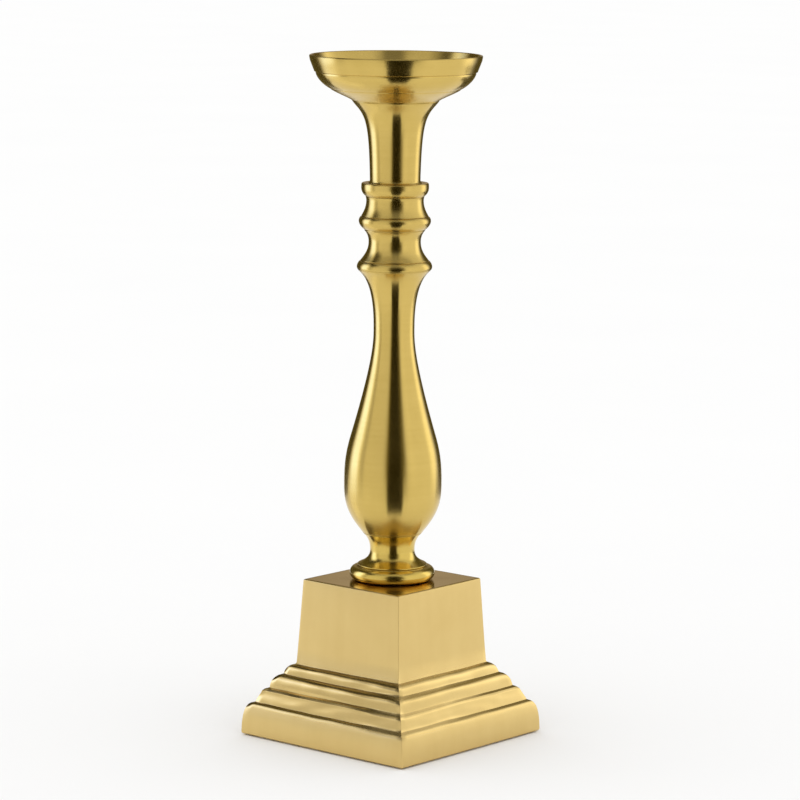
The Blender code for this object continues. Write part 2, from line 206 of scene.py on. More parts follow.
def rounded(outline, radius, closed=True, least_turn=14.0, steps=4):
    """Rounds the corners of an outline, with support points that keep the flat stretches flat."""
    points = [Vector(p) for p in outline]
    count = len(points)
    result = []
    for i, point in enumerate(points):
        if not closed and i in (0, count - 1):
            result.append(tuple(point))
            continue
        back, ahead = points[i - 1] - point, points[(i + 1) % count] - point
        if back.length < 1e-6 or ahead.length < 1e-6:
            result.append(tuple(point))
            continue
        turn = math.pi - back.angle(ahead)
        if turn < math.radians(least_turn):
            result.append(tuple(point))
            continue
        reach = radius * math.tan(min(turn, 2.6) / 2)
        reach = min(reach, 0.42 * back.length, 0.42 * ahead.length)
        start, end = point + back.normalized() * reach, point + ahead.normalized() * reach
        if back.length > 3 * reach:
            result.append(tuple(start + back.normalized() * reach * 0.4))
        for k in range(steps + 1):
            t = k / steps
            result.append(tuple(start * (1 - t) ** 2 + point * 2 * t * (1 - t) + end * t * t))
        if ahead.length > 3 * reach:
            result.append(tuple(end + ahead.normalized() * reach * 0.4))
    return result


# --- meshes ---


def link_piece(name, mesh, material, slot, *nodes):
    """Puts a piece in the scene, on the body, with its material, and hides the CAD nodes that it stands for.
    Its slot is not used.
    """
    obj = bpy.data.objects.new(name, mesh)
    bpy.context.scene.collection.objects.link(obj)
    mesh.materials.append(material)
    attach(obj, "root")
    if nodes:
        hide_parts(*nodes)
    return obj


def mesh_of(name, rings, closed, seams=None):
    """Joins rings of equal length with quads. A ring of one point caps that end."""
    verts, starts = [], []
    for ring in rings:
        starts.append(len(verts))
        verts += [tuple(p) for p in ring]
    faces = []
    pairs = list(range(len(rings) - 1)) + ([-1] if closed else [])
    for a in pairs:
        b = (a + 1) % len(rings)
        a %= len(rings)
        lower, upper = rings[a], rings[b]
        count = max(len(lower), len(upper))
        for i in range(count):
            j = (i + 1) % count
            corners = [
                starts[a] + i % len(lower),
                starts[a] + j % len(lower),
                starts[b] + j % len(upper),
                starts[b] + i % len(upper),
            ]
            faces.append(list(dict.fromkeys(corners)))
    mesh = bpy.data.meshes.new(name)
    mesh.from_pydata(verts, [], faces)
    shape = bmesh.new()
    shape.from_mesh(mesh)
    bmesh.ops.recalc_face_normals(shape, faces=shape.faces)
    shape.to_mesh(mesh)
    shape.free()
    mesh.shade_smooth()
    if seams is not None:
        attribute = mesh.attributes.new("seam", "FLOAT", "POINT")
        values = [value for ring, value in zip(rings, seams) for _ in ring]
        attribute.data.foreach_set("value", values)
    return mesh


def circle(radius, height, turns, centre=(0.0, 0.0)):
    """Points round the upright line through centre, in the unit of the radius."""
    x, y = centre[0], centre[1]
    angles = [2 * math.pi * i / turns for i in range(turns)]
    return [Vector((x + radius * math.cos(a), y + radius * math.sin(a), height)) for a in angles]


def ring_at(radius, height, turns, centre=(0.0, 0.0)):
    """A circle given in millimetres, or its centre alone when the radius is 0."""
    if radius < 1e-6:
        return [Vector((centre[0], centre[1], height)) * MM]
    return [point * MM for point in circle(radius, height, turns, centre)]


def disc(name, radii, turns):
    """A flat disc in metres, with a ring of points at each radius."""
    return mesh_of(name, [[Vector((0, 0, 0))], *[circle(r, 0.0, turns) for r in radii]], False)


def foot_of(cad_node):
    """Height of a CAD node's lowest point, in millimetres."""
    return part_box(cad_node)[0].z / MM


def seam_strength(z, top):
    """1 at the joints at a piece's foot and top, falling off between them."""
    if z > top:
        return 1.0
    return max(math.exp(-max(z, 0.0) / SEAM_REACH), math.exp(-(top - z) / SEAM_REACH))


def turned(name, cad_node, outline, material, slot):
    """A turned piece in place of a CAD node. Its seam attribute is 1 at the joints with its neighbours."""
    foot = foot_of(cad_node)
    outline = [(r, z - JOINT_FILL if z == 0.0 else z) for r, z in outline]
    fine = rounded(outline, ARRIS)
    widest = max(r for r, z in fine)
    top = max(z for r, z in fine if r > 0.5 * widest)
    seams = [seam_strength(z, top) for r, z in fine]
    mesh = mesh_of(name, [ring_at(r, foot + z, TURNS) for r, z in fine], True, seams)
    return link_piece(name, mesh, material, slot, cad_node)


# --- materials ---


def node(tree, kind, inputs=None, **settings):
    """A shader node. Each input is a value to set or a socket to link."""
    made = tree.nodes.new(kind)
    for key, value in settings.items():
        setattr(made, key, value)
    for key, value in (inputs or {}).items():
        if isinstance(value, bpy.types.NodeSocket):
            tree.links.new(value, made.inputs[key])
        else:
            made.inputs[key].default_value = value
    return made


def math_node(tree, operation, *values):
    return node(tree, "ShaderNodeMath", dict(enumerate(values)), operation=operation).outputs[0]


def added(tree, first, second):
    return math_node(tree, "ADD", first, second)


def scaled(tree, value, factor):
    return math_node(tree, "MULTIPLY", value, factor)


def stretched(tree, place, *factors):
    """Coordinates multiplied axis by axis, so that noise is drawn out along the axes with small factors."""
    return node(tree, "ShaderNodeVectorMath", {0: place, 1: factors}, operation="MULTIPLY").outputs[0]


def object_place(tree):
    return node(tree, "ShaderNodeTexCoord").outputs["Object"]


def seam_of(tree):
    """The seam attribute of the mesh, which says where tarnish and painted shade gather."""
    return node(tree, "ShaderNodeAttribute", attribute_name="seam").outputs["Fac"]


def add_bump(tree, shader, height, depth):
    """Relief from a height value, depth in millimetres."""
    bump = node(tree, "ShaderNodeBump", {"Strength": 1.0, "Distance": depth * MM, "Height": height})
    tree.links.new(bump.outputs[0], shader.inputs["Normal"])


def blend(tree, factor, first, second):
    """A colour mix. first and second are colours or sockets."""
    made = node(tree, "ShaderNodeMix", data_type="RGBA", blend_type="MIX")
    for key, value in ((0, factor), (6, first), (7, second)):
        if isinstance(value, bpy.types.NodeSocket):
            tree.links.new(value, made.inputs[key])
        else:
            made.inputs[key].default_value = value if key == 0 else (*value, 1.0)
    return made.outputs[2]


def noise_at(tree, place, scale, detail=2.0, roughness=0.5):
    inputs = {"Vector": place, "Scale": scale, "Detail": detail, "Roughness": roughness}
    return node(tree, "ShaderNodeTexNoise", inputs).outputs["Fac"]


def spread(tree, value, low, high, to_low=0.0, to_high=1.0):
    """Maps value from low..high to to_low..to_high, and holds it there beyond them."""
    inputs = {"Value": value, "From Min": low, "From Max": high, "To Min": to_low, "To Max": to_high}
    return node(tree, "ShaderNodeMapRange", inputs).outputs["Result"]


def new_material(name, **constants):
    """A material with its node tree and its shader, whose constant inputs are set on the shader itself."""
    made = bpy.data.materials.new(name)
    made.use_nodes = True
    tree = made.node_tree
    shader = tree.nodes["Principled BSDF"]
    for key, value in constants.items():
        shader.inputs[key.replace("_", " ")].default_value = value
    return made, tree, shader


def lathe_place(tree):
    """Coordinates in which noise makes fine rings round the axis that change slowly along each ring."""
    place = object_place(tree)
    flat = stretched(tree, place, 1.0, 1.0, 0.0)
    radius = node(tree, "ShaderNodeVectorMath", {0: flat}, operation="LENGTH").outputs["Value"]
    slow = stretched(tree, place, 0.02, 0.02, 1.0)
    out = node(tree, "ShaderNodeCombineXYZ", {"X": radius}).outputs[0]
    rings = node(tree, "ShaderNodeVectorMath", {0: slow, 1: out}, operation="ADD").outputs[0]
    return place, rings


def turned_brass(name, tones, roughness, anisotropy, line_depth):
    """Brass with lathe lines, soft patches of tone, and tarnish with painted shade in the joints."""
    made, tree, shader = new_material(name, Metallic=1.0, Anisotropic=anisotropy, Anisotropic_Rotation=0.25)
    colour, shade, tarnish_and_shade_colour = tones
    place, rings = lathe_place(tree)
    lines = noise_at(tree, rings, 2600.0, 1.0)
    bands = noise_at(tree, rings, 420.0, 2.0, 0.6)
    patches = noise_at(tree, place, 42.0, 3.0, 0.6)
    seam = seam_of(tree)
    broad = spread(tree, patches, 0.35, 0.65, 0.0, 0.55)
    tone = added(tree, broad, spread(tree, bands, 0.3, 0.7, 0.0, 0.45))
    base = blend(tree, tone, colour, shade)
    # Tarnish with painted shade: the joints are darkened in patches towards the dark colour.
    tarnish_and_shade_mask = scaled(tree, seam, spread(tree, patches, 0.35, 0.65, 0.0, 0.4))
    tree.links.new(blend(tree, tarnish_and_shade_mask, base, tarnish_and_shade_colour), shader.inputs["Base Color"])
    uneven = spread(tree, patches, 0.3, 0.7, roughness - 0.025, roughness + 0.03)
    gloss = added(tree, uneven, scaled(tree, lines, 0.02))
    tree.links.new(added(tree, gloss, scaled(tree, seam, 0.10)), shader.inputs["Roughness"])
    add_bump(tree, shader, added(tree, scaled(tree, lines, 0.25), bands), line_depth)
    tangent = node(tree, "ShaderNodeTangent", direction_type="RADIAL", axis="Z")
    tree.links.new(tangent.outputs[0], shader.inputs["Tangent"])
    return made


def plinth_roughness(tree, place, patches, seam):
    """Satin on the slab and the block, smoother on the mouldings, smoothest on the level top."""
    height = node(tree, "ShaderNodeSeparateXYZ", {0: place}).outputs["Z"]
    on_block = spread(tree, height, 0.0495, 0.054)
    on_slab = spread(tree, height, 0.024, 0.019)
    flats = math_node(tree, "MAXIMUM", on_block, on_slab)
    side = added(tree, spread(tree, patches, 0.3, 0.7, 0.15, 0.21), scaled(tree, flats, 0.13))
    top = spread(tree, patches, 0.3, 0.7, 0.13, 0.17)
    normal = node(tree, "ShaderNodeNewGeometry").outputs["Normal"]
    up = node(tree, "ShaderNodeSeparateXYZ", {0: normal}).outputs["Z"]
    level = spread(tree, up, 0.90, 0.99)
    upright = math_node(tree, "SUBTRACT", 1.0, level)
    gloss = added(tree, scaled(tree, level, top), scaled(tree, upright, side))
    return added(tree, gloss, scaled(tree, seam, 0.1))


def plinth_brass(name, tones):
    """Hand-finished cast brass: soft upright streaks on the sides, and tarnish with painted shade in the
    steps.
    """
    made, tree, shader = new_material(name, Metallic=1.0)
    colour, shade, tarnish_and_shade_colour = tones
    place = object_place(tree)
    streaks = noise_at(tree, stretched(tree, place, 1.0, 1.0, 0.1), 90.0, 2.0)
    patches = noise_at(tree, place, 30.0, 3.0, 0.6)
    grain = noise_at(tree, place, 1500.0, 2.0)
    seam = seam_of(tree)
    broad = spread(tree, patches, 0.35, 0.65, 0.0, 0.5)
    base = blend(tree, added(tree, broad, spread(tree, streaks, 0.3, 0.7, 0.0, 0.5)), colour, shade)
    # Tarnish with painted shade: the steps, the column's foot, the bore and the hollow are darkened in
    # patches.
    tarnish_and_shade_mask = scaled(tree, seam, spread(tree, patches, 0.3, 0.7, 0.10, 0.5))
    tree.links.new(blend(tree, tarnish_and_shade_mask, base, tarnish_and_shade_colour), shader.inputs["Base Color"])
    tree.links.new(plinth_roughness(tree, place, patches, seam), shader.inputs["Roughness"])
    add_bump(tree, shader, added(tree, scaled(tree, grain, 0.10), streaks), 0.03)
    return made


def zinc_steel(name):
    """Zinc-plated steel: a grey spangle with scattered dull spots."""
    made, tree, shader = new_material(name, Metallic=1.0)
    place = object_place(tree)
    patches = noise_at(tree, place, 70.0, 4.0, 0.6)
    spots = noise_at(tree, place, 600.0, 2.0)
    base = blend(tree, spread(tree, patches, 0.3, 0.7), (0.50, 0.51, 0.53), (0.66, 0.66, 0.64))
    dull = blend(tree, spread(tree, spots, 0.6, 0.8, 0.0, 0.5), base, (0.35, 0.34, 0.31))
    tree.links.new(dull, shader.inputs["Base Color"])
    tree.links.new(spread(tree, patches, 0.3, 0.7, 0.30, 0.46), shader.inputs["Roughness"])
    add_bump(tree, shader, spots, 0.02)
    return made


def felt(name):
    """Dark felt with a fine fibre and faint patches."""
    made, tree, shader = new_material(name, Sheen_Weight=0.35, Sheen_Roughness=0.6)
    place = object_place(tree)
    fibres = noise_at(tree, place, 1400.0, 5.0, 0.7)
    patches = noise_at(tree, place, 120.0, 3.0)
    base = blend(tree, spread(tree, fibres, 0.3, 0.7), (0.028, 0.025, 0.022), (0.080, 0.072, 0.062))
    faded = blend(tree, spread(tree, patches, 0.4, 0.7, 0.0, 0.4), base, (0.05, 0.046, 0.04))
    tree.links.new(faded, shader.inputs["Base Color"])
    tree.links.new(spread(tree, fibres, 0.3, 0.7, 0.88, 1.0), shader.inputs["Roughness"])
    add_bump(tree, shader, fibres, 0.15)
    return made


# --- the plinth ---


def softened(outline, reach):
    """The outline averaged over reach along its length, point for point."""
    points = [Vector(p) for p in outline]
    along = [0.0]
    for before, after in zip(points, points[1:]):
        along.append(along[-1] + (after - before).length)
    spans = [(along[min(i + 1, len(along) - 1)] - along[max(i - 1, 0)]) / 2 for i in range(len(along))]
    result = []
    for here in along:
        weights = [span * math.exp(-(((there - here) / reach) ** 2)) for there, span in zip(along, spans)]
        mean = sum((w * p for w, p in zip(weights, points)), Vector((0, 0))) / sum(weights)
        result.append(mean)
    return result


def wear(spot):
    """How worn the mouldings are, from 0 to 1: most at the front corner and on the +X side."""
    from_front = (spot - Vector(FRONT_CORNER)).length
    near_front = math.exp(-((from_front / WEAR_RADIUS) ** 2))
    uneven = noise.noise(Vector((spot.x / 26.0, spot.y / 26.0, 3.0)))
    right = max(0.0, spot.x / spot.length) ** 2
    return min(1.0, max(0.0, 0.08 + 0.6 * right + 0.85 * near_front + 0.4 * uneven))


def square_ring(half, corner, height, swell=0.0, waver=0.0, worn=None):
    """A square ring with rounded corners.

    swell bows its sides out in the middle, and waver makes them uneven. worn is the place of the same ring
    on the softened outline, which the ring approaches where the plinth is worn.
    """
    points = []
    worn_half, worn_height = worn or (half, height)
    for quarter in range(4):
        turn = Matrix.Rotation(math.pi / 2 * quarter, 2)
        for i in range(SIDE_STEPS):
            t = 2 * i / SIDE_STEPS - 1
            softness = wear(turn @ Vector((half, half * t))) if worn else 0.0
            x = half + (worn_half - half) * softness
            z = height + (worn_height - height) * softness
            y = (x - corner) * t
            x += swell * (1 - abs(t) ** 3)
            spot = turn @ Vector((x, y))
            wave = noise.noise(Vector((spot.x / 17.0, spot.y / 17.0, height / 4.0)))
            x += waver * wave * (1 - t**8)
            z += 1.5 * waver * noise.noise(Vector((spot.x / 23.0, spot.y / 23.0, height / 9.0 + 7.0)))
            spot = turn @ Vector((x, y))
            points.append(Vector((spot.x, spot.y, z)) * MM)
        softness = wear(turn @ Vector((half, half))) if worn else 0.0
        x = half + (worn_half - half) * softness
        z = height + (worn_height - height) * softness
        for i in range(CORNER_STEPS):
            angle = math.pi / 2 * i / CORNER_STEPS
            centre = x - corner
            spot = turn @ Vector((centre + corner * math.cos(angle), centre + corner * math.sin(angle)))
            points.append(Vector((spot.x, spot.y, z)) * MM)
    return points


def circle_like(ring, radius, height):
    """A circle whose points lie in the same directions as those of a square ring."""
    return [Vector((p.x, p.y)).normalized().to_3d() * radius * MM + Vector((0, 0, height * MM)) for p in ring]


def plinth_outline():
    """Outside of the plinth: the slab, three mouldings and the tapered block."""
    slab = [(74.6, 0.0), (75.2, 0.8)] + curve((75.2, 3.0), (75.0, 13.0), (73.8, 20.5), (70.5, 22.2), 18)
    ogee = curve((68.2, 23.2), (67.4, 26.5), (65.4, 28.5), (65.0, 31.0), 12)
    ovolo = curve((61.0, 33.8), (60.8, 38.5), (58.8, 40.6), (56.6, 42.1), 12)
    roll = curve((54.0, 43.4), (53.6, 46.4), (52.0, 48.6), (50.2, 49.4), 12)
    mouldings = [(68.3, 22.6), *ogee, (63.4, 32.4), (61.0, 33.0), *ovolo, (54.1, 42.7), *roll]
    block_foot = [(48.2, 50.0), (47.6, 51.2), (47.0, 62.0), (46.1, 78.0)]
    block_top = [(45.2, 95.0), (44.5, 107.5), (44.35, PLINTH_HEIGHT - 0.6), (43.8, PLINTH_HEIGHT)]
    return slab + mouldings + block_foot + block_top


def plinth_side_rings(foot):
    """Rings of the outside with their tarnish and painted shade. The sides swell a little, and the mouldings
    are worn.
    """
    outside = rounded(plinth_outline(), PLINTH_ARRIS, closed=False, least_turn=24.0)
    rings, seams = [], []
    for (half, z), soft in zip(outside, softened(outside, SOFTENING)):
        on_block, on_slab = z > BLOCK_EDGE, z < SLAB_EDGE
        swell = 0.45 if on_block else 0.30 if on_slab else 0.35
        swell *= min(1.0, (PLINTH_HEIGHT - z) / 4.0 + 0.5)
        waver = 0.0 if z < 2.0 else 0.06 if on_block else 0.10 if on_slab else 0.22
        worn = None if on_block or on_slab else (soft.x, foot + soft.y)
        rings.append(square_ring(half, PLINTH_CORNER, foot + z, swell, waver, worn))
        # tarnish and painted shade in the creases at the steps
        seams.append(max(math.exp(-abs(z - step) / 0.5) for step in STEP_HEIGHTS))
    return rings, seams


def build_plinth(material):
    """The plinth with its level top, its bore and the hollow inside."""
    foot = foot_of("plinth")
    rings, seams = plinth_side_rings(foot)
    top, ceiling = foot + PLINTH_HEIGHT, foot + HOLLOW_TOP
    # The level top, with tarnish and painted shade round the column's foot, then the bore and the hollow,
    # darkened the same way.
    for half in (42.6, 38.0, 32.0, 26.0, 18.0, 11.0):
        rings.append(square_ring(half, min(0.5, half / 4), top))
        seams.append(math.exp(-max(0.0, half - 24.0) / 3.0) * 0.6)
    pattern = rings[-1]
    for radius, z in ((BORE + 0.6, top), (BORE, top - 0.6), (BORE, ceiling + 0.6), (BORE + 0.6, ceiling)):
        rings.append(circle_like(pattern, radius, z))
        seams.append(0.6)
    block_hollow = ((20.0, HOLLOW_TOP), (39.5, HOLLOW_TOP), (41.0, HOLLOW_TOP - 1.5), (44.3, 46.0))
    slab_hollow = ((71.4, 15.0), (71.4, 0.6), (72.0, 0.0))
    for half, z in block_hollow + slab_hollow:
        rings.append(square_ring(half, 2.0, foot + z))
        seams.append(0.5)
    mesh = mesh_of("plinth_fine", rings, True, seams)
    return link_piece("plinth_fine", mesh, material, "plinth_brass", "plinth")


# --- the column ---


def foot_bead():
    bead = arc((25.6, 4.6), 4.4, 4.6, -80, 76)
    return [(BORE, 0.0), *bead, (25.2, 9.5), (24.9, 9.8), *spigot(9.8)]


def lower_spool():
    lip = [(23.9, 0.0), (24.3, 0.4), (24.3, 0.8)]
    flare = curve((23.8, 1.1), (19.0, 3.1), (15.6, 5.4), (15.7, 11.1))
    neck = curve((15.7, 11.1), (15.7, 18.6), (19.6, 21.6), (20.6, 22.8))
    return [*lip, *flare, *neck[1:], (20.4, 23.1), *spigot(23.1), *socket()]


def baluster():
    belly = curve((20.9, 0.0), (33.9, 15.0), (34.4, 24.0), (34.4, 36.2), 28)
    shoulder = curve((34.4, 36.2), (34.4, 54.3), (31.1, 64.3), (29.1, 71.3), 16)
    slope = curve((29.1, 71.3), (13.6, 125.1), (14.3, 136.6), (14.3, 145.7), 36)
    flare = curve((14.3, 145.7), (14.3, 180.7), (24.8, 184.0), (25.6, 186.2), 36)
    neck_hollow = [(BORE, 175.2), (13.2, 175.2), (11.8, 145.7), (12.0, 125.0)]
    belly_hollow = [(26.5, 71.3), (31.8, 36.2), (21.5, 8.2), (BORE, 8.2)]
    outside = [*belly, *shoulder[1:], *slope[1:], *flare[1:]]
    return [*outside, *spigot(186.2), *neck_hollow, *belly_hollow, *socket()]


def lower_bead():
    bead = curve((26.3, 1.0), (26.5, 2.7), (25.5, 4.6), (24.3, 5.6), 12)
    return [(25.8, 0.0), *bead, (23.9, 5.7), *spigot(5.7), *socket()]


def lower_reel():
    lower = curve((23.7, 0.2), (19.9, 4.9), (18.2, 8.1), (18.2, 13.1))
    upper = curve((18.2, 13.1), (18.2, 16.9), (19.7, 19.3), (21.1, 20.9))
    return [(23.6, 0.0), *lower, *upper[1:], (21.0, 21.3), *spigot(21.3), *socket()]


def middle_bead():
    bead = curve((21.4, 0.1), (25.9, 3.5), (25.9, 7.1), (23.8, 9.0), 24)
    return [(21.2, 0.0), *bead, (23.5, 9.1), *spigot(9.1), *socket()]


def upper_reel():
    lower = curve((23.3, 0.2), (21.0, 4.3), (20.0, 7.1), (20.0, 10.7))
    upper = curve((20.0, 10.7), (20.0, 11.9), (20.2, 12.7), (20.5, 13.5), 8)
    return [(23.1, 0.0), *lower, *upper[1:], (20.3, 13.7), *spigot(13.7), *socket()]


def collar_ring():
    side = curve((20.8, 0.1), (22.9, 1.9), (23.6, 3.7), (23.6, 6.1), 16)
    return [(20.5, 0.0), *side, (23.5, 8.3), (23.1, 9.0), *spigot(9.0), *socket()]


def flared_neck():
    shank = curve((17.6, 1.4), (17.9, 16.4), (18.5, 31.4), (20.4, 39.4), 24)
    trumpet = curve((20.4, 39.4), (22.6, 49.5), (26.9, 52.0), (29.9, 56.2), 24)
    hollow = [(BORE, 47.9), (20.0, 47.9), (17.6, 39.4), (15.4, 22.4), (15.0, 4.4), (BORE, 4.4)]
    return [(18.9, 0.0), (17.9, 0.6), *shank, *trumpet[1:], (29.7, 56.4), *spigot(56.4), *hollow, *socket()]


def candle_cup():
    under = curve((30.2, 0.2), (32.6, 2.1), (39.9, 4.7), (44.8, 7.6), 16)
    groove = [(44.9, 7.9), (45.4, 8.2)]
    side = curve((45.4, 8.2), (50.2, 10.7), (54.3, 14.7), (55.6, 18.7), 20)
    band = [(55.7, 19.8), (56.7, 20.3), (56.9, 20.9), (58.4, 24.7), (59.7, 28.1), (60.2, 30.9)]
    rim = [(59.9, 31.5), (59.3, 31.7), (58.5, 31.3)]
    inner_wall = curve((54.6, 21.7), (51.8, 14.7), (46.6, 9.3), (39.5, 7.7), 20)
    recess = [(13.0, 7.7), (13.0, 4.2), (BORE, 4.2)]
    return [(30.2, 0.0), *under, *groove, *side[1:], *band, *rim, *inner_wall, *recess, *socket()]


def pricket():
    """The spike, from the underside of its flange to its point, over a blind hole for the rod."""
    flange = [(BORE, 0.0), (10.5, 0.0), (10.5, 1.2), (10.1, 1.7), (7.2, 1.7)]
    waist = [(6.3, 2.4), (6.0, 3.6), (5.5, 7.9)]
    spike = [(4.3, 10.6), (3.1, 13.3), (1.9, 16.0), (0.7, 18.8), (0.25, 19.3)]
    return flange + waist + spike


def build_pricket(material):
    """The pricket, turned from its point down to its flange and up into its blind hole."""
    low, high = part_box("pricket")
    foot = low.z / MM
    fine = rounded(pricket(), 0.3, closed=False)
    inside = [(0.0, high.z / MM - foot), *reversed(fine), (BORE, 6.8), (0.0, 8.6)]
    rings = [ring_at(r, foot + z, 64) for r, z in inside]
    mesh = mesh_of("pricket_fine", rings, False, [0.1] * len(rings))
    return link_piece("pricket_fine", mesh, material, "polished_brass", "pricket")


def build_tie_rod(material):
    """The rod with an M8 thread on both ends."""
    low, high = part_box("tie_rod")
    bottom, top = low.z / MM, high.z / MM
    steps = [i * THREAD_PITCH / 4 for i in range(int(4 * THREAD_LENGTH / THREAD_PITCH))]
    plain = [bottom + THREAD_LENGTH + 2.0, top - THREAD_LENGTH - 2.0]
    rings = []
    for z in [*[bottom + step for step in steps], *plain, *[top - step for step in reversed(steps)]]:
        end = min(z - bottom, top - z)
        ring = []
        for i in range(FINE_TURNS):
            turn = i / FINE_TURNS
            phase = (z / THREAD_PITCH - turn) % 1.0
            cut = THREAD_DEPTH * (1 - abs(2 * phase - 1)) if end < THREAD_LENGTH else 0.0
            r = min(THREAD_RADIUS - cut, THREAD_RADIUS - 0.8 + end)
            angle = 2 * math.pi * turn
            ring.append(Vector((r * math.cos(angle), r * math.sin(angle), z)) * MM)
        rings.append(ring)
    ends = [[Vector((0, 0, z * MM))] for z in (bottom, top)]
    mesh = mesh_of("tie_rod_fine", [ends[0], *rings, ends[1]], False)
    mesh.set_sharp_from_angle(angle=math.radians(40))
    return link_piece("tie_rod_fine", mesh, material, "steel", "tie_rod")


def build_foot_pad(number, material):
    """A felt disc, its edge soft and a little uneven."""
    cad_node = f"foot_pad_{number}"
    low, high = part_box(cad_node)
    centre = (low + high) / 2 / MM
    radius, bottom, top = (high.x - low.x) / 2 / MM, low.z / MM, high.z / MM
    side = radius - 0.05
    lower = [(0, bottom), (radius * 0.5, bottom), (radius - 0.9, bottom), (radius - 0.3, bottom + 0.2)]
    upper = [(side, bottom + 0.7), (side, top - 0.5), (radius - 0.3, top - 0.1)]
    upper += [(radius - 0.8, top), (0, top)]
    rings = []
    for r, z in lower + upper:
        ring = ring_at(r, z, FINE_TURNS, centre)
        if r > 0:
            for point in ring:
                rough = noise.noise(point * 900.0) * 0.10 * min(1.0, r / radius)
                out = Vector((point.x - centre.x * MM, point.y - centre.y * MM, 0.0)).normalized()
                point -= out * abs(rough) * MM
        rings.append(ring)
    mesh = mesh_of(f"{cad_node}_felt", rings, False)
    return link_piece(f"{cad_node}_felt", mesh, material, "felt", cad_node)


def finish_cad_node(name, material, bevel=0.25):
    """Keeps a CAD node's shape, breaks its sharp edges, and gives it its finish."""
    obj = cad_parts[name]
    obj.data.materials.clear()
    obj.data.materials.append(material)
    weld = obj.modifiers.new("weld", "WELD")
    weld.merge_threshold = 0.000005
    edges = obj.modifiers.new("edges", "BEVEL")
    edges.width = bevel * MM
    edges.segments = 2
    edges.limit_method = "ANGLE"
    edges.angle_limit = math.radians(35)
    edges.harden_normals = True
    return obj


# --- the studio ---


def add_camera():
    """The photograph's camera."""
    heading, pitch, roll = (math.radians(v) for v in (YAW - AZIMUTH, PITCH, ROLL))
    level = Vector((math.cos(heading), -math.sin(heading), 0.0))
    forward = Vector((math.sin(heading), math.cos(heading), 0.0))
    ahead = forward * math.cos(pitch) - Vector((0.0, 0.0, math.sin(pitch)))
    above = level.cross(ahead)
    right = level * math.cos(roll) + above * math.sin(roll)
    up = above * math.cos(roll) - level * math.sin(roll)
    camera = bpy.data.objects.new("camera", bpy.data.cameras.new("camera"))
    bpy.context.scene.collection.objects.link(camera)
    side = math.radians(AZIMUTH)
    place = Vector((DISTANCE * math.sin(side), -DISTANCE * math.cos(side), CAMERA_HEIGHT))
    camera.matrix_world = Matrix.Translation(place) @ Matrix((right, up, -ahead)).transposed().to_4x4()
    camera.data.lens, camera.data.sensor_width = LENS, SENSOR
    camera.data.clip_start, camera.data.clip_end = 0.1, 200.0
    bpy.context.scene.camera = camera


def stage_object(name, mesh, material, only_reflected=False):
    """An object of the studio. One that is only reflected shows in nothing but the brass."""
    obj = bpy.data.objects.new(name, mesh)
    bpy.context.scene.collection.objects.link(obj)
    mesh.materials.append(material)
    if only_reflected:
        obj.visible_camera = obj.visible_diffuse = obj.visible_shadow = False
        obj.visible_transmission = obj.visible_volume_scatter = False
    return obj


def emitter(name):
    """A material that only glows, with its node tree and its light."""
    made = bpy.data.materials.new(name)
    made.use_nodes = True
    tree = made.node_tree
    tree.nodes.clear()
    made.cycles.emission_sampling = "NONE"
    light = node(tree, "ShaderNodeEmission", {"Strength": TENT_GAIN})
    node(tree, "ShaderNodeOutputMaterial", {"Surface": light.outputs[0]})
    return made, tree, light


def tint_of(angle, bright):
    """Colour cast of a panel: warm at the back, brown where it is dark, cool where it is brightest."""
    if abs(angle) == 180:
        return BACK_TINT
    if bright < DARK_BELOW:
        return DARK_TINT
    return COOL_TINT if bright > COOL_ABOVE else (1.0, 1.0, 1.0)


def ramp(tree, fac, stops):
    """A ramp of brightness over direction, in degrees from -180 to 180."""
    made = node(tree, "ShaderNodeValToRGB", {"Fac": fac})
    elements = made.color_ramp.elements
    while len(elements) > 1:
        elements.remove(elements[-1])
    for i, (angle, bright) in enumerate(stops):
        element = elements[0] if i == 0 else elements.new(angle / 360 + 0.5)
        element.position = angle / 360 + 0.5
        element.color = (*[bright / TENT_GAIN * tint for tint in tint_of(angle, bright)], 1.0)
    return made.outputs["Color"]


def build_tent():
    """A ring of soft panels round the holder, seen only in reflections."""
    made, tree, light = emitter("studio_panels")
    place = object_place(tree)
    around = node(tree, "ShaderNodeTexGradient", {"Vector": place}, gradient_type="RADIAL").outputs["Fac"]
    height = node(tree, "ShaderNodeSeparateXYZ", {0: place}).outputs["Z"]
    low, middle, high = (ramp(tree, around, stops) for stops in (TENT_LOW, TENT_MIDDLE, TENT_HIGH))
    colour = blend(tree, spread(tree, height, MIDDLE_FROM, MIDDLE_TO), low, middle)
    colour = blend(tree, spread(tree, height, HIGH_FROM, HIGH_TO), colour, high)
    tree.links.new(colour, light.inputs["Color"])
    rings = [circle(TENT_RADIUS, z, 128) for z in (0.0, TENT_HEIGHT)]
    tent = stage_object("studio_tent", mesh_of("studio_tent", rings, False), made, only_reflected=True)
    tent.rotation_euler.z = math.radians(AZIMUTH - 90)


def build_ceiling():
    """A disc of light over the tent, seen only in reflections."""
    made, tree, light = emitter("studio_ceiling")
    out = node(tree, "ShaderNodeVectorMath", {0: object_place(tree)}, operation="LENGTH").outputs["Value"]
    centre, edge = ((bright / TENT_GAIN,) * 3 for bright in (CEILING_CENTRE, CEILING_EDGE))
    tree.links.new(blend(tree, spread(tree, out, 0.45, 0.75), centre, edge), light.inputs["Color"])
    mesh = disc("studio_ceiling", (0.02, 0.4, 0.8, TENT_RADIUS + 0.05), 64)
    ceiling = stage_object("studio_ceiling", mesh, made, only_reflected=True)
    ceiling.location.z = CEILING_HEIGHT


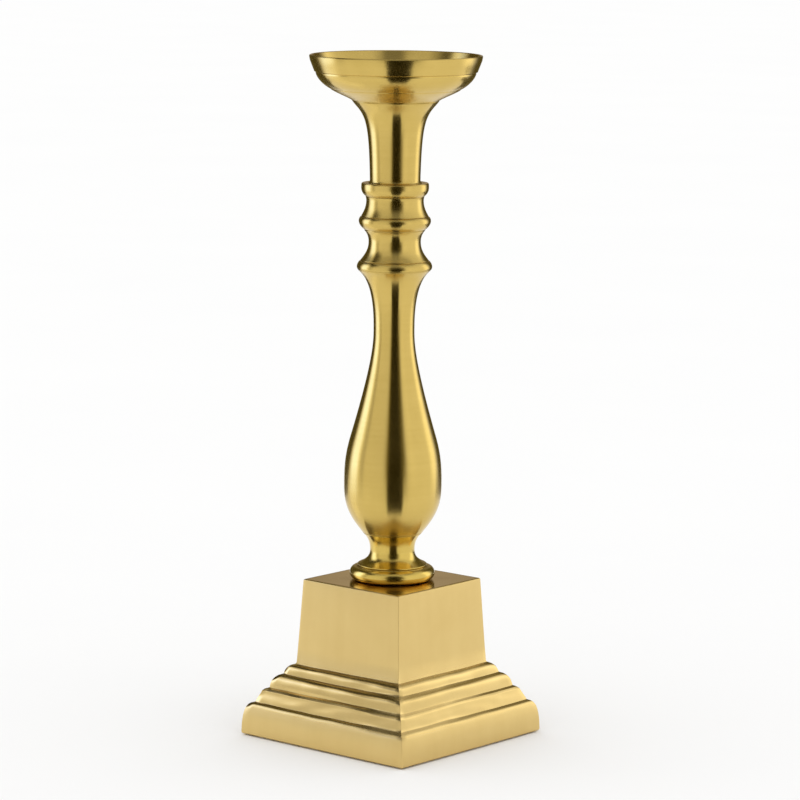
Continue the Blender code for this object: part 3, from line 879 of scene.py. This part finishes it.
def floor_sector(name, first, last, near, radiance):
    """A glowing sheet on part of the floor, seen only in reflections. The dark ones are a cloth and painted
    shadows; the bright one is a painted pool of light.
    """
    made, tree, light = emitter(name)
    light.inputs["Color"].default_value = (*[channel / TENT_GAIN for channel in radiance], 1.0)
    steps = 12
    sides = [math.radians(AZIMUTH - 90 + first + (last - first) * i / steps) for i in range(steps + 1)]
    ends = (near, TENT_RADIUS - 0.01)
    inner, outer = ([Vector((r * math.cos(a), r * math.sin(a), CLOTH_HEIGHT)) for a in sides] for r in ends)
    count = len(sides)
    mesh = bpy.data.meshes.new(name)
    mesh.from_pydata([*inner, *outer], [], [(i, i + 1, count + i + 1, count + i) for i in range(count - 1)])
    stage_object(name, mesh, made, only_reflected=True)


def build_floor():
    """A pale matt floor."""
    made, tree, shader = new_material("floor", Specular_IOR_Level=0.0)
    mottle = noise_at(tree, object_place(tree), 3.0, 4.0)
    tree.links.new(blend(tree, mottle, (0.89, 0.89, 0.89), (0.91, 0.91, 0.905)), shader.inputs["Base Color"])
    tree.links.new(spread(tree, mottle, 0.3, 0.7, 0.85, 0.95), shader.inputs["Roughness"])
    stage_object("floor", disc("floor", (0.3, 1.0, 4.0, 14.0, 50.0), 96), made)


def light_world():
    """Soft white light from everywhere, which the brass doesn't mirror."""
    world = bpy.data.worlds.new("studio")
    bpy.context.scene.world = world
    world.use_nodes = True
    background = world.node_tree.nodes["Background"]
    background.inputs["Color"].default_value = (1.0, 1.0, 1.0, 1.0)
    background.inputs["Strength"].default_value = WORLD_STRENGTH
    world.cycles_visibility.glossy = False
    bpy.context.scene.view_settings.view_transform = "Standard"


# --- everything ---


def main():
    satin = turned_brass("satin_brass", SATIN_TONES, 0.21, anisotropy=0.88, line_depth=0.012)
    polished = turned_brass("polished_brass", POLISHED_TONES, 0.20, anisotropy=0.6, line_depth=0.008)
    cast = plinth_brass("plinth_brass", CAST_TONES)
    steel = zinc_steel("zinc_steel")
    dark_felt = felt("dark_felt")
    build_plinth(cast)
    for name, outline, material, slot in (
        ("foot_bead", foot_bead, polished, "polished_brass"),
        ("lower_spool", lower_spool, polished, "polished_brass"),
        ("baluster", baluster, satin, "satin_brass"),
        ("lower_bead", lower_bead, satin, "satin_brass"),
        ("lower_reel", lower_reel, satin, "satin_brass"),
        ("middle_bead", middle_bead, satin, "satin_brass"),
        ("upper_reel", upper_reel, satin, "satin_brass"),
        ("collar_ring", collar_ring, satin, "satin_brass"),
        ("flared_neck", flared_neck, satin, "satin_brass"),
        ("candle_cup", candle_cup, satin, "satin_brass"),
    ):
        turned(f"{name}_fine", name, outline(), material, slot)
    build_pricket(polished)
    build_tie_rod(steel)
    for number in range(1, 5):
        build_foot_pad(number, dark_felt)
        finish_cad_node(f"base_screw_{number}", steel, 0.12)
    for name in ("base_plate", "rod_nut", "spring_washer", "clamp_washer", "cup_washer"):
        finish_cad_node(name, steel)
    add_camera()
    build_tent()
    build_ceiling()
    # The side sheets are painted shadow at the foot of the dark panels; the front one is a dark cloth.
    for name, (first, last, near, bright) in DARK_CLOTHS_AND_PAINTED_SHADOWS.items():
        floor_sector(f"studio_cloth_and_painted_shadow_{name}", first, last, near, [bright * tint for tint in DARK_TINT])
    # A painted pool of light on the floor before the brightest panel.
    first, last, near, bright = GLOW
    floor_sector("studio_glow", first, last, near, [bright] * 3)
    build_floor()
    light_world()


main()
